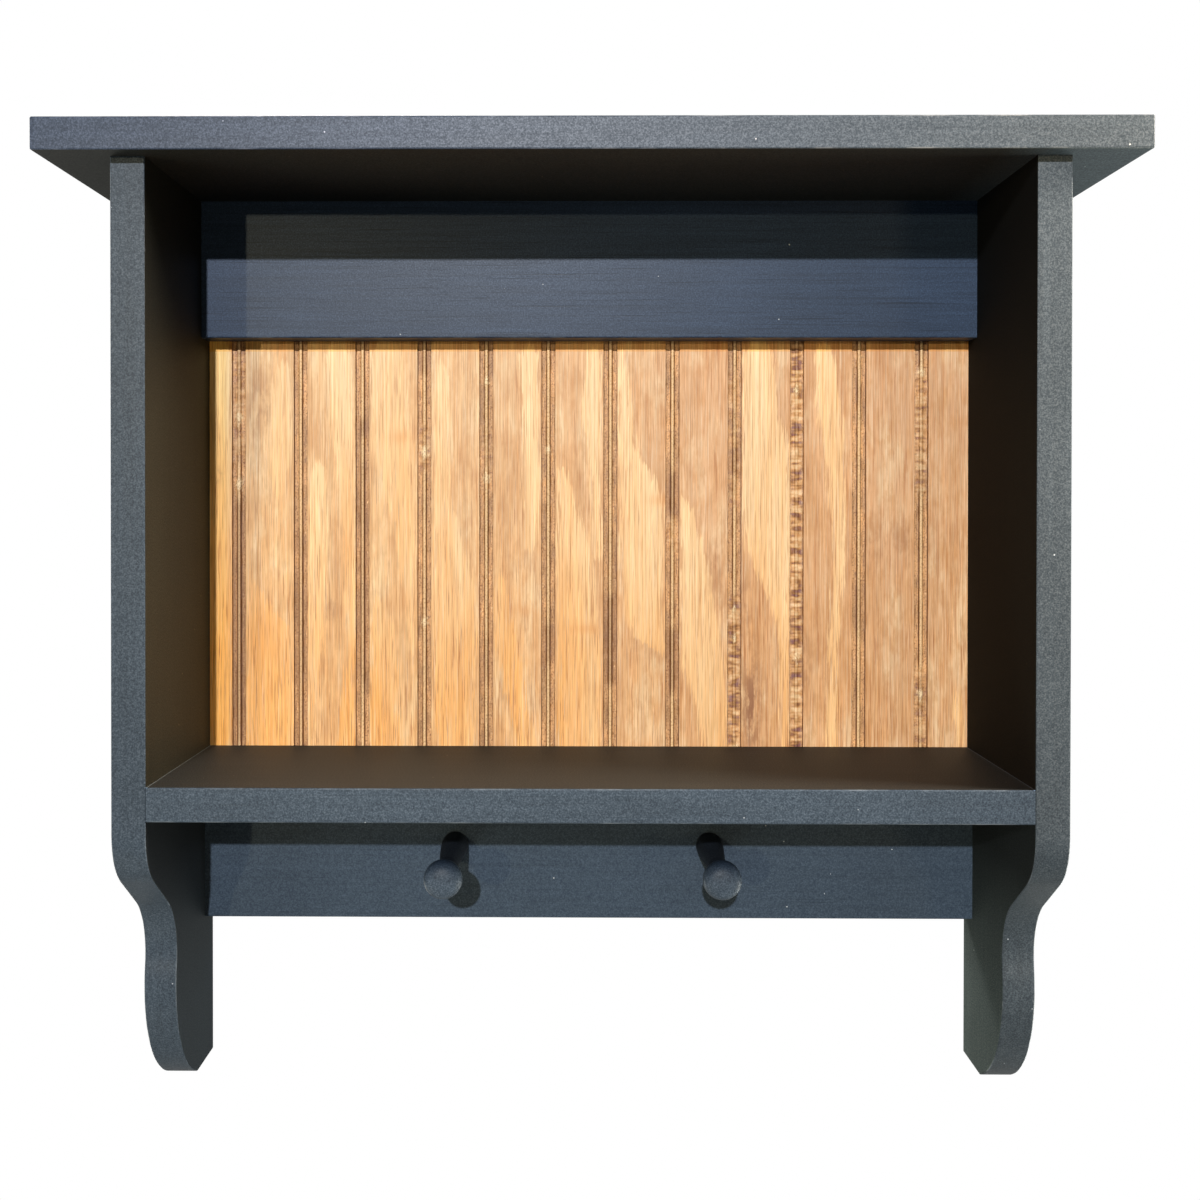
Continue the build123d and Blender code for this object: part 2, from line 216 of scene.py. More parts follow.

# areas of painted light and shade: axes are 0, 1, 2, places are in metres, and a tint multiplies
plain = (1.0, 1.0, 1.0, 1)
paintedShade = {"flatter": 0.22}  # painted shade and reflection, on a rougher film
paintedLight = {"flatter": 0.0}  # painted light and shade that keep the film's full sheen
# painted shade: the top's underside darker and warmer, fading out towards its right end
underTopShade = dict(paintedShade, axis=2, middle=0.021, reach=0.0211, along=0, start=0.22, stop=0.26,
                first="#978872", last="#fffff4")
# painted light: the top's front face lighter and bluer at the left, growing much paler and warmer towards the
# right end
topFrontLight = dict(paintedLight, axis=1, middle=-0.1542, reach=0.0012, along=0, start=-0.1, stop=0.29,
               first=(1.05, 1.05, 1.25, 1), last=(2.5, 2.12, 1.74, 1))
# painted reflection and shade: the shelf's top browner, as the stained panel would mirror in it, and darker
# towards the right
shelfTopReflection = dict(paintedShade, axis=2, middle=-0.3, reach=0.001, along=0, start=0.05, stop=0.2,
                first="#c9b094", last="#94826f")
leftJointHighlight = dict(paintedLight, axis=0, middle=-0.24095, reach=0.00045, along=2, start=-0.3013, stop=-0.3011,
                 first=plain, last=(4.6, 5.2, 6.0, 1))  # painted highlight: a bright, bluish line on the shelf's top along its end at the side
rightJointHighlight = dict(leftJointHighlight, middle=0.24095, last=(3.4, 3.8, 4.4, 1))
# painted light: the right side's front face paler and warmer towards the top
rightFrontLight = dict(paintedLight, axis=1, middle=-0.1397, reach=0.0012, along=2, start=-0.40, stop=0.03,
                 first=plain, last=(2.0, 1.86, 1.74, 1))
# painted shade: a side's inner face darkens up to the shelf and again up to the top; the last tint for the
# legs also lies on the wall above the shelf, and the inner faces' own tints allow for it
legInnerShade = dict(paintedLight, axis=0, middle=0.0, reach=0.2415, along=2, start=-0.45, stop=-0.35,
                first=plain, last=(0.15, 0.15, 0.15, 1))
wallInnerShade = dict(legInnerShade, start=-0.10, stop=0.0, last=(0.4, 0.4, 0.4, 1))
# painted light and shade on the inner faces: below the shelf the left darker and the right lighter; above it
# both warmer with painted bounce light from the stained panel, the left lighter and the right darker
leftInnerBounce = dict(legInnerShade, flatter=0.22, start=-0.32, stop=-0.30, first="#868f91", last=(2.3, 1.66, 0.82, 1))
rightInnerBounce = dict(leftInnerBounce, flatter=0.5, first=(1.25, 1.28, 1.05, 1), last=(0.5, 0.33, 0.11, 1))
# painted shade: the pegs' stems darkened from near the head back to the rail
pegStemShade = dict(paintedShade, axis=1, middle=-0.045, reach=0.045, along=1, start=-0.084, stop=-0.074,
               first=plain, last=(0.22, 0.22, 0.24, 1))
# painted light and shade: the pegs' heads lighter below their middle and darker and bluer towards the top
pegHeadShading = dict(axis=1, middle=-0.1, reach=0.03, along=2, start=-0.362, stop=-0.3495, flatter=0.08,
               first=(1.25, 1.25, 1.27, 1), last=(0.28, 0.34, 0.45, 1))

paintName = "rolled satin enamel on pine, "
paintTop = satinEnamelOnPine(paintName + "top", 0, caseShade, [underTopShade, topFrontLight])
paintShelf = satinEnamelOnPine(paintName + "shelf", 0, shelfLitPaint, [shelfTopReflection, leftJointHighlight, rightJointHighlight])
paintLeft = satinEnamelOnPine(paintName + "left side", 2, caseShade, [leftInnerBounce, legInnerShade, wallInnerShade])
paintRight = satinEnamelOnPine(paintName + "right side", 2, rightLitPaint,
                               [rightInnerBounce, legInnerShade, wallInnerShade, rightFrontLight])
paintUpper = satinEnamelOnPine(paintName + "upper rail", 0, upperShadedPaint)
paintRails = satinEnamelOnPine(paintName + "peg rail", 0, railShade)
paintPegs = satinEnamelOnPine("dipped satin enamel on turned birch", 1, pegShade, [pegStemShade, pegHeadShading])
print("paint mixed")


# helpers for the boards
def evaluated(thing):
    bpy.context.view_layer.update()
    graph = bpy.context.evaluated_depsgraph_get()
    return bpy.data.meshes.new_from_object(thing.evaluated_get(graph), depsgraph=graph)


def finishPiece(name, mesh, material, replaced, smoothAngle=38):
    for polygon in mesh.polygons:
        polygon.use_smooth = True
    mesh.set_sharp_from_angle(angle=math.radians(smoothAngle))
    mesh.materials.clear()
    mesh.materials.append(material)
    piece = bpy.data.objects.new(name, mesh)
    bpy.context.scene.collection.objects.link(piece)
    flat = piece.modifiers.new("flatFaces", "WEIGHTED_NORMAL")
    flat.keep_sharp = True
    applied = evaluated(piece)
    piece.modifiers.clear()
    piece.data = applied
    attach(piece, "root")
    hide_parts(*replaced)
    return piece


def meshFrom(bm, name):
    bmesh.ops.recalc_face_normals(bm, faces=bm.faces)
    mesh = bpy.data.meshes.new(name)
    bm.to_mesh(mesh)
    bm.free()
    return mesh


def carved(mesh, *groups):
    # each group is a list of closed bmeshes that don't touch each other, cut out together
    body = bpy.data.objects.new("body", mesh)
    bpy.context.scene.collection.objects.link(body)
    tools = []
    for group in groups:
        toolMesh = bpy.data.meshes.new("tool")
        joined = bmesh.new()
        for cutter in group:
            cutter.to_mesh(toolMesh)
            joined.from_mesh(toolMesh)
            cutter.free()
        joined.to_mesh(toolMesh)
        joined.free()
        tool = bpy.data.objects.new("tool", toolMesh)
        bpy.context.scene.collection.objects.link(tool)
        cut = body.modifiers.new("cut", "BOOLEAN")
        cut.operation = "DIFFERENCE"
        cut.solver = "EXACT"
        cut.object = tool
        tools.append(tool)
    result = evaluated(body)
    for spent in [body, *tools]:
        bpy.data.objects.remove(spent)
    return result


def boxCutter(low, high):
    cutter = bmesh.new()
    bmesh.ops.create_cube(cutter, size=1)
    for vert in cutter.verts:
        vert.co = Vector([low[i] if vert.co[i] < 0 else high[i] for i in range(3)])
    return cutter


def outlineCutter(points, axis, start, stop):
    # points go round the outline in the plane across the axis, in that plane's own order
    cutter = bmesh.new()
    others = [i for i in range(3) if i != axis]
    rings = []
    for depth in (start, stop):
        rings.append([])
        for point in points:
            co = [0.0, 0.0, 0.0]
            co[axis] = depth
            co[others[0]], co[others[1]] = point
            rings[-1].append(cutter.verts.new(co))
    cutter.faces.new(rings[0])
    cutter.faces.new(list(reversed(rings[1])))
    for i in range(len(points)):
        j = (i + 1) % len(points)
        cutter.faces.new([rings[0][j], rings[0][i], rings[1][i], rings[1][j]])
    bmesh.ops.recalc_face_normals(cutter, faces=cutter.faces)
    return cutter


def ring(centre, radius, count=24):
    return [(centre[0] + radius * math.cos(2 * math.pi * i / count),
             centre[1] + radius * math.sin(2 * math.pi * i / count)) for i in range(count)]


def slotOutline(centreX, lowZ, highZ, radius, count=24):
    points = []
    for start, centreZ in ((0.0, highZ), (math.pi, lowZ)):
        for i in range(count + 1):
            angle = start + math.pi * i / count
            points.append((centreX + radius * math.cos(angle), centreZ + radius * math.sin(angle)))
    return points


planks = {
    "ease": 0.9,  # mm, sanded radius of the arrises
    "step": 4.0,  # mm, spacing of the divisions along a board
    "wobble": 0.10,  # mm, how far the sanding wanders
    "longWave": 9.0,  # mm
    "shortWave": 3.0,  # mm
    "dent": 0.35,  # mm, depth of the knocks
    "dentSpacing": 14.0,  # mm
}


def easeArrises(bm, edges, board, seed):
    bmesh.ops.bevel(bm, geom=edges, offset=board["ease"] * mm, offset_type="OFFSET", segments=3,
                    profile=0.5, affect="EDGES", clamp_overlap=True)
    marks = bm.verts.layers.float.new("arris")
    # the points whose faces all belong to a rounded edge
    small = (board["ease"] * board["step"]) * 0.75 * mm * mm
    middles = [v for v in bm.verts if v.link_faces and all(f.calc_area() < small for f in v.link_faces)]
    shift = Vector((seed * 3.1, seed * 1.7, seed * 5.3))
    for vert in middles:
        vert[marks] = 1.0
        longWave = noise.noise(vert.co / (board["longWave"] * mm) + shift)
        shortWave = noise.noise(vert.co / (board["shortWave"] * mm) + shift)
        wave = longWave * 0.6 + shortWave * 0.4
        dent = max(0.0, noise.noise(vert.co / (board["dentSpacing"] * mm) - shift) - 0.42) * 2.2
        vert.co -= vert.normal * (board["wobble"] * (0.5 + wave) + board["dent"] * dent) * mm


def plank(low, high, along, board, seed, eased):
    # a squared board, divided along its length so its arrises can wander a little
    bm = boxCutter(low, high)
    length = high[along] - low[along]
    cuts = int(length / (board["step"] * mm))
    direction = Vector([1.0 if i == along else 0.0 for i in range(3)])
    for i in range(1, cuts):
        point = Vector(low) + direction * (length * i / cuts)
        everything = bm.verts[:] + bm.edges[:] + bm.faces[:]
        bmesh.ops.bisect_plane(bm, geom=everything, plane_co=point, plane_no=direction)
    bm.normal_update()
    sharp = [e for e in bm.edges if len(e.link_faces) == 2 and e.calc_face_angle() > 1.0
             and eased((e.verts[0].co + e.verts[1].co) / 2)]
    easeArrises(bm, sharp, board, seed)
    return meshFrom(bm, "plank")


# the heads of the finish nails, filled and painted over
nails = {  # mm
    "radius": 1.35, "deep": 0.32,
    "sideMiddle": 250.825, "depths": (-114.7, -69.85, -25.0),
    "upperRailDepth": -15.875, "upperRailAcross": (-160.0, 0.0, 160.0), "upperRailHeights": (-23.0, 22.0),
    "shelfHeight": -310.425, "pegRailDepth": -9.525, "pegRailHeights": (-386.95, -339.95),
}


def dimples(places, axis, start, stop):
    return [outlineCutter(ring((a * mm, b * mm), nails["radius"] * mm), axis, start, stop) for a, b in places]


# top board: eased all round except along the wall
low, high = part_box("top_board")
topNails = [(sign * nails["sideMiddle"], y) for sign in (-1, 1) for y in nails["depths"]]
topNails += [(x, nails["upperRailDepth"]) for x in nails["upperRailAcross"]]
mesh = plank(low, high, 0, planks, 1, lambda p: p.y < -near)
mesh = carved(mesh, dimples(topNails, 2, high.z - nails["deep"] * mm, high.z + past))
finishPiece("painted_top_board", mesh, paintTop, ["top_board"])
print("top board cut")


# sides: a straight front, a brow, a hollow and a rounded toe
sideShape = {  # mm and degrees
    "front": -139.7, "top": 42.0, "browStart": -327.95,
    "browRadius": 35.0, "browTurn": 55.0, "slope": 32.0,
    "ankleRadius": 42.6, "ankleTurn": 65.0,
    "footFlat": 35.8, "foot": -497.75,
    "step": 2.5,  # along the curves
    "straightStep": 4.0,
    "jointDeep": 6.35,  # the shelf's housing and the panel's rebate
    "housingFront": -120.65,
}


def arcPoints(start, heading, radius, turn, step):
    # a positive turn bends to the left; returns the points after the start and the new heading
    side = math.copysign(1, turn)
    normal = heading + side * math.pi / 2
    centre = (start[0] + radius * math.cos(normal), start[1] + radius * math.sin(normal))
    count = max(4, int(abs(turn) * radius / step))
    points = []
    for i in range(1, count + 1):
        angle = normal + math.pi + turn * i / count
        points.append((centre[0] + radius * math.cos(angle), centre[1] + radius * math.sin(angle)))
    return points, heading + turn


def straight(start, stop, step):
    count = max(1, int(math.dist(start, stop) / step))
    return [(start[0] + (stop[0] - start[0]) * i / count, start[1] + (stop[1] - start[1]) * i / count)
            for i in range(1, count + 1)]


def sideOutline(shape):
    run, curve = shape["straightStep"], shape["step"]
    points = [(shape["front"], shape["top"])]
    points += straight(points[-1], (shape["front"], shape["browStart"]), run)
    heading = -math.pi / 2
    browTurn = math.radians(shape["browTurn"])
    brow, heading = arcPoints(points[-1], heading, shape["browRadius"], browTurn, curve)
    points += brow
    slopeEnd = (points[-1][0] + shape["slope"] * math.cos(heading),
                points[-1][1] + shape["slope"] * math.sin(heading))
    points += straight(points[-1], slopeEnd, run)
    ankleTurn = -math.radians(shape["ankleTurn"])
    hollow, heading = arcPoints(points[-1], heading, shape["ankleRadius"], ankleTurn, curve)
    points += hollow
    # the toe's arc leaves along the heading and lands on the flat of the foot
    end = (-shape["footFlat"], shape["foot"])
    gap = (end[0] - points[-1][0], end[1] - points[-1][1])
    normal = (-math.sin(heading), math.cos(heading))
    radius = (gap[0] ** 2 + gap[1] ** 2) / (2 * (gap[0] * normal[0] + gap[1] * normal[1]))
    turn = 2 * (math.atan2(gap[1], gap[0]) - heading)
    points += arcPoints(points[-1], heading, radius, turn, curve)[0]
    points += straight(points[-1], (0.0, shape["foot"]), run)
    points += straight(points[-1], (0.0, shape["top"]), run)
    points += straight(points[-1], points[0], run)[:-1]
    return [(y * mm, z * mm) for y, z in points]


def sideBoard(sign, seed):
    name = "left_side" if sign < 0 else "right_side"
    low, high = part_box(name)
    inner, outer = (high.x, low.x) if sign < 0 else (low.x, high.x)
    bm = outlineCutter(sideOutline(sideShape), 0, low.x, high.x)
    bm.normal_update()

    def eased(edge):
        # along the outline, but not against the top board or the wall
        first, second = (vert.co for vert in edge.verts)
        return (len(edge.link_faces) == 2 and abs(first.x - second.x) < 1e-6
                and (first.z + second.z) / 2 < high.z - near and (first.y + second.y) / 2 < -near)

    easeArrises(bm, [edge for edge in bm.edges if eased(edge)], dict(planks, step=sideShape["step"]), seed)
    mesh = meshFrom(bm, "side")

    shelfLow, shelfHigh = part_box("shelf")
    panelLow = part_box("beadboard_panel")[0]
    startX, stopX = sorted((inner - sign * past, inner + sign * sideShape["jointDeep"] * mm))
    housing = boxCutter((startX, sideShape["housingFront"] * mm, shelfLow.z),
                        (stopX, panelLow.y + near / 2, shelfHigh.z))
    rebate = boxCutter((startX, panelLow.y, panelLow.z), (stopX, past, high.z + past))
    places = [(y, nails["shelfHeight"]) for y in nails["depths"]]
    places += [(nails["upperRailDepth"], z) for z in nails["upperRailHeights"]]
    places += [(nails["pegRailDepth"], z) for z in nails["pegRailHeights"]]
    heads = dimples(places, 0, outer - sign * nails["deep"] * mm, outer + sign * past)
    mesh = carved(mesh, [housing, *heads], [rebate])
    paint = paintLeft if sign < 0 else paintRight
    finishPiece("painted_" + name, mesh, paint, [name])


sideBoard(-1, 2)
sideBoard(1, 3)
print("sides cut")


# the keyhole plates' openings in the wood behind them
keyholes = {  # mm
    "across": (-203.2, 203.2),
    "slot": (0.0, 12.0, 6.6),  # lowest and highest centre, radius
    "plate": (-8.0, 20.0, 8.1),
    "plateDeep": 1.5,
    "pocketDeep": 5.5,
    "through": (-9.0, 1.0),  # from in front of the panel to behind it
    "screwHeights": (-11.5, 23.5),
    "screwRadius": 1.79,
}


def keyholeCutters(outline, start, stop):
    lowZ, highZ, radius = (value * mm for value in keyholes[outline])
    return [outlineCutter(slotOutline(x * mm, lowZ, highZ, radius), 1, start, stop)
            for x in keyholes["across"]]


# shelf: eased along its front, and only as long as it shows between the sides
low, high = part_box("shelf")
mesh = plank((-halfClear, low.y, low.z), (halfClear, high.y, high.z), 0, planks, 4,
             lambda p: p.y < low.y + near and abs(p.x) < halfClear - near / 10)
finishPiece("painted_shelf", mesh, paintShelf, ["shelf"])


# rails: only the lower front arris is eased
def railPlank(low, high, seed):
    return plank(low, high, 0, planks, seed, lambda p: p.y < low.y + near and p.z < low.z + near
                 and abs(p.x) < halfClear - near / 10)


low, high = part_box("upper_rail")
mesh = railPlank(low, high, 5)
mesh = carved(mesh, keyholeCutters("slot", high.y - keyholes["pocketDeep"] * mm, high.y + past))
finishPiece("painted_upper_rail", mesh, paintUpper, ["upper_rail"])

pegHoles = {
    "centres": {"left_peg": (-83.25, -360.95), "right_peg": (76.25, -360.95)},  # mm, x and z
    "radius": 6.4,  # mm
    "deep": 16.7,  # mm
}
low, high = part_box("peg_rail")
mesh = railPlank(low, high, 6)
bores = [outlineCutter(ring((x * mm, z * mm), pegHoles["radius"] * mm, 40), 1,
                       low.y - past, low.y + pegHoles["deep"] * mm) for x, z in pegHoles["centres"].values()]
mesh = carved(mesh, bores)
finishPiece("painted_peg_rail", mesh, paintRails, ["peg_rail"])
print("shelf and rails cut")


# pegs: turned between centres, with faint tool rings and a knocked-in tenon
peg = {
    "profile": [  # out from the rail, radius, mm
        (-15.9, 6.0), (-15.4, 6.35), (0.0, 6.35), (0.0, 8.1), (0.2, 8.3), (8.0, 8.17), (15.0, 7.85),
        (22.0, 7.4), (31.1, 6.72), (40.0, 6.06), (48.8, 5.56), (55.0, 5.36), (60.0, 5.3),
        (63.4, 5.57), (67.3, 6.59), (70.3, 7.87), (72.4, 8.87), (74.5, 9.78), (77.3, 10.69),
        (79.4, 11.03), (81.0, 11.1), (83.0, 10.93), (85.0, 10.23), (86.4, 9.16), (87.5, 7.64),
        (88.3, 5.53), (88.7, 3.2), (88.86, 1.4)],
    "length": 88.9,  # mm
    "around": 72,
    "toolRing": 0.035,  # mm
    "outOfRound": 0.06,  # mm
}


def smoothProfile(stations, keep=5, parts=4):
    # straight runs up to station keep, then a Catmull-Rom curve through the rest
    points = list(stations[:keep])
    curve = stations[keep - 1:]
    for i in range(len(curve) - 1):
        p0 = curve[max(i - 1, 0)]
        p1, p2 = curve[i], curve[i + 1]
        p3 = curve[min(i + 2, len(curve) - 1)]
        for k in range(1, parts + 1):
            t = k / parts
            points.append(tuple(
                0.5 * (2 * p1[a] + (p2[a] - p0[a]) * t + (2 * p0[a] - 5 * p1[a] + 4 * p2[a] - p3[a]) * t * t
                       + (3 * p1[a] - p0[a] - 3 * p2[a] + p3[a]) * t ** 3) for a in (0, 1)))
    return points


def turnedPeg(name, seed):
    x, z = (value * mm for value in pegHoles["centres"][name])
    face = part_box("peg_rail")[0].y
    bm = bmesh.new()
    around = peg["around"]
    rings = []
    for out, radius in smoothProfile(peg["profile"]):
        loop = []
        for i in range(around):
            angle = 2 * math.pi * i / around
            direction = Vector((math.cos(angle), 0, math.sin(angle)))
            r = radius
            if out > 0.5:
                tool = 0.5 + 0.5 * math.sin(out * 2.1 + seed)
                press = 0.5 + noise.noise(Vector((out * 0.3, seed, 0)))
                lean = 0.5 + 0.5 * noise.noise(direction * 1.3 + Vector((seed, out * 0.02, 0)))
                r -= peg["toolRing"] * tool * press + peg["outOfRound"] * lean
            loop.append(bm.verts.new((x + direction.x * r * mm, face - out * mm, z + direction.z * r * mm)))
        rings.append(loop)
    for a, b in zip(rings, rings[1:]):
        for i in range(around):
            j = (i + 1) % around
            bm.faces.new([a[i], a[j], b[j], b[i]])
    bm.faces.new(list(reversed(rings[0])))
    tip = bm.verts.new((x, face - peg["length"] * mm, z))
    for i in range(around):
        bm.faces.new([rings[-1][i], rings[-1][(i + 1) % around], tip])
    finishPiece("turned_" + name, meshFrom(bm, "peg"), paintPegs, [name], smoothAngle=50)


turnedPeg("left_peg", 1.0)
turnedPeg("right_peg", 4.0)
print("pegs turned")


# beaded plywood back: a bead between two cut channels, with the cores' fibres torn by the cutter
beads = {
    "first": -222.7, "pitch": 39.5, "count": 12,  # mm, the grooves' centres
    "crown": 1.2, "shoulder": 4.25,  # mm, from a groove's centre to the bead's side and to the flat
    "reach": 5.0,  # mm, how far from its centre a groove's marks go
    "section": [  # across a groove from its centre, depth below the face, mm
        (0.0, 0.30), (0.55, 0.36), (0.95, 0.60), (1.12, 1.0), (1.25, 2.0), (1.9, 2.2), (2.9, 2.2),
        (3.7, 2.2), (4.2, 2.05), (4.32, 0.5), (4.45, 0.0)],
    "thickness": 6.35,  # mm
    "flatStep": 2.6,  # mm between the columns on the flats
    "rowStep": 1.8,  # mm
    "tear": 0.22,  # mm, how rough the channels are
    "tornTear": 0.9,  # mm, where the core tore out
    "deepest": 2.45,  # mm
    "torn": [  # groove, top and bottom height in mm, how badly
        (9, -45, -330, 1.0), (8, -205, -330, 0.9), (8, -60, -150, 0.35), (11, -60, -140, 0.6),
        (11, -250, -300, 0.5), (0, -48, -120, 0.45), (7, -150, -175, 0.4), (3, -95, -125, 0.5),
        (4, -100, -125, 0.3), (10, -48, -60, 0.3)],
    "chips": [  # groove, height, radius, mm: pale splinters standing in the channels
        (0, -134, 2.6), (4, -130, 2.2), (3, -222, 2.3), (3, -114, 2.9), (0, -92, 2.4), (4, -68, 1.8),
        (11, -62, 2.2), (11, -268, 2.2), (9, -74, 2.0), (8, -232, 1.8), (9, -244, 2.0), (5, -112, 1.8),
        (8, -214, 1.8)],
    "burnt": [  # groove, top and bottom height in mm, how dark the cutter left the bead's sides
        (6, -205, -262, 0.9), (7, -126, -155, 1.0), (7, -226, -266, 0.9), (5, -224, -248, 0.8),
        (2, -92, -104, 0.9), (2, -120, -260, 0.55), (8, -110, -128, 0.8), (0, -145, -300, 0.9),
        (1, -165, -335, 0.5), (10, -70, -84, 0.5), (4, -232, -262, 0.5), (3, -48, -64, 0.6),
        (10, -198, -224, 0.4)],
}


# the rotary-cut face's figure
figure = {
    "tongues": [  # pale early wood, each a list of height, left edge and right edge in mm
        [(-52, -240, -226), (-110, -242, -226), (-200, -243, -226), (-285, -243, -226),
         (-300, -238, -230)],
        [(-60, -199, -190), (-85, -203, -189), (-110, -205, -189), (-140, -199, -194)],
        [(-198, -215, -212), (-215, -217, -200), (-225, -218, -190), (-300, -218, -189),
         (-326, -214, -189)],
        [(-52, -168, -151), (-100, -163, -150), (-180, -154, -149), (-240, -152, -149),
         (-300, -160, -149), (-330, -154, -149)],
        [(-125, -176, -168), (-160, -178, -166), (-230, -178, -168), (-260, -176, -172),
         (-275, -177, -176)],
        [(-50, -138, -119), (-90, -138, -115), (-120, -134, -112), (-160, -124, -111),
         (-200, -117, -110), (-240, -113, -110)],
        [(-205, -136, -133), (-225, -138, -124), (-270, -138, -122), (-330, -138, -116)],
        [(-60, -97, -90), (-140, -98, -88), (-200, -99, -72), (-260, -98, -74), (-330, -92, -71)],
        [(-52, -44, -32), (-100, -41, -31), (-160, -40, -32), (-175, -38, -34)],
        [(-195, -58, -54), (-230, -59, -46), (-270, -52, -40), (-300, -44, -32), (-335, -42, -31)],
        [(-125, -19, -15), (-145, -20, -8), (-180, -20, 3), (-235, -19, 8), (-290, -19, 8),
         (-330, -14, 8)],
        [(-52, -2, 8), (-95, -4, 8), (-125, 1, 8), (-180, 4, 8)],
        [(-50, 19, 23), (-112, 19, 31), (-128, 19, 41), (-148, 19, 48), (-218, 24, 48), (-232, 30, 48),
         (-240, 44, 48)],
        [(-140, 59, 60), (-150, 59, 66), (-180, 59, 76), (-220, 59, 83), (-250, 60, 87), (-270, 68, 88),
         (-300, 74, 88), (-335, 80, 88)],
        [(-52, 98, 118), (-90, 98, 121), (-110, 98, 128), (-150, 98, 129), (-180, 103, 129),
         (-200, 112, 128), (-220, 120, 128), (-245, 123, 128), (-335, 124, 128)],
        [(-52, 143, 156), (-90, 146, 161), (-130, 153, 163), (-180, 157, 164), (-210, 155, 160),
         (-260, 152, 158), (-300, 152, 160), (-335, 153, 162)],
        [(-262, 235, 236), (-275, 232, 239), (-300, 233, 238), (-312, 235, 236)],
    ],
    "resin": [  # small swirls round pin knots: x, z, half width, half height in mm, strength
        (-120, -104, 6, 4, 0.8), (-42, -214, 8, 4, 0.55), (46, -144, 7, 4, 0.8), (-2, -226, 9, 3, 0.8),
        (-118, -208, 6, 10, 0.4), (-206, -232, 12, 16, 0.5), (-230, -180, 6, 40, 0.5),
        (-236, -300, 10, 30, 0.2)],
    "stain": [  # darker clouds where the stain soaked in
        (-208, -84, 9, 26, 0.4), (-238, -128, 6, 5, 0.7), (-164, -212, 5, 13, 0.35),
        (-172, -310, 5, 22, 0.55), (104, -276, 6, 34, 1.0), (136, -255, 7, 28, 0.45),
        (172, -175, 12, 30, 0.3), (200, -170, 18, 12, 0.3), (98, -210, 8, 20, 0.4),
        (-60, -315, 10, 14, 0.4), (-198, -330, 10, 6, 0.6), (80, -190, 8, 20, 0.35)],
}


def grooveMark(marks, index, z):
    worst = 0.0
    for groove, topZ, bottomZ, strength in marks:
        if groove == index:
            inside = min(topZ - z, z - bottomZ)
            worst = max(worst, strength * min(1.0, max(0.0, inside / 6 + 0.5)))
    return worst


def chipped(index, across, z):
    most = 0.0
    for groove, height, radius in beads["chips"]:
        if groove == index:
            ragged = 0.9 * noise.noise(Vector((across * 0.9, z * 0.8, index)))
            most = max(most, 1.25 + ragged - math.hypot(across, (z - height) * 0.6) / radius)
    return min(most, 1.0)


def tongueEdge(x, z):
    # signed distance to the nearest tongue's edge, positive inside, mm
    best = -9.0
    for tongue in figure["tongues"]:
        if not tongue[-1][0] - 12 < z < tongue[0][0] + 12:
            continue
        for (z0, l0, r0), (z1, l1, r1) in zip(tongue, tongue[1:]):
            if z1 <= z <= z0:
                t = (z0 - z) / (z0 - z1)
                left, right = l0 + (l1 - l0) * t, r0 + (r1 - r0) * t
                best = max(best, min(x - left, right - x))
        if z > tongue[0][0]:
            best = max(best, min(x - tongue[0][1], tongue[0][2] - x) - (z - tongue[0][0]) * 0.6)
        if z < tongue[-1][0]:
            best = max(best, min(x - tongue[-1][1], tongue[-1][2] - x) - (tongue[-1][0] - z) * 0.6)
    return best


def soaked(spots, x, z):
    total = 0.0
    for cx, cz, halfX, halfZ, strength in spots:
        total += strength * math.exp(-((x - cx) / halfX) ** 2 - ((z - cz) / halfZ) ** 2)
    return min(total, 1.0)


def panelColumns(lowX, highX):
    # across the panel: x, depth, distance from the groove's centre (far where there is none), groove
    far = 99.0
    columns = [(lowX, 0.0, far, -1)]
    for index in range(beads["count"]):
        centre = beads["first"] + beads["pitch"] * index
        edge = centre - beads["section"][-1][0]
        start = columns[-1][0]
        count = max(1, round((edge - start) / beads["flatStep"]))
        columns += [(start + (edge - start) * i / count, 0.0, far, index) for i in range(1, count)]
        for across, deep in reversed(beads["section"]):
            columns.append((centre - across, deep, -across, index))
        for across, deep in beads["section"][1:]:
            columns.append((centre + across, deep, across, index))
    start = columns[-1][0]
    count = round((highX - start) / beads["flatStep"])
    columns += [(start + (highX - start) * i / count, 0.0, far, -1) for i in range(1, count + 1)]
    return columns


def tornDepth(x, z, deep, across, index, tear, chip):
    # the depth and the sideways slip of a point of a groove, roughened where the cutter tore it
    slip = 0.0
    spot = Vector((x * 0.9, z * 0.35, index * 7.7))
    rough = noise.noise(spot) + 0.5 * noise.noise(spot * 2.3)
    if abs(across) < beads["crown"]:
        broken = max(0.0, noise.noise(Vector((index * 3.3, z * 0.23, 1.0))) + 0.1) * tear
        deep += beads["tear"] * 0.35 * rough + min(1.3, broken * 3.2)
    elif abs(across) < beads["shoulder"]:
        clump = noise.noise(Vector((x * 0.4, z * 0.28, 5.0 + index)))
        deep += beads["tear"] * rough - tear * beads["tornTear"] * max(0.0, clump + 0.15) * 1.4
        deep = min(deep, beads["deepest"])
    else:
        slip = 0.16 * noise.noise(Vector((index * 5.1 + across, z * 0.4, 3.0)))
        deep += 0.06 * max(0.0, rough)
    return max(deep - 0.6 * chip, 0.02), slip


panelBrads = {  # mm, small holes in the back where the brads' heads sit
    "radius": 0.94, "deep": 1.3,
    "sideAcross": 244.475, "sideHeights": (-214.45, -129.45, -44.45),
    "across": (-200.0, -100.0, 0.0, 100.0, 200.0), "heights": (-33.0, -310.425),
}


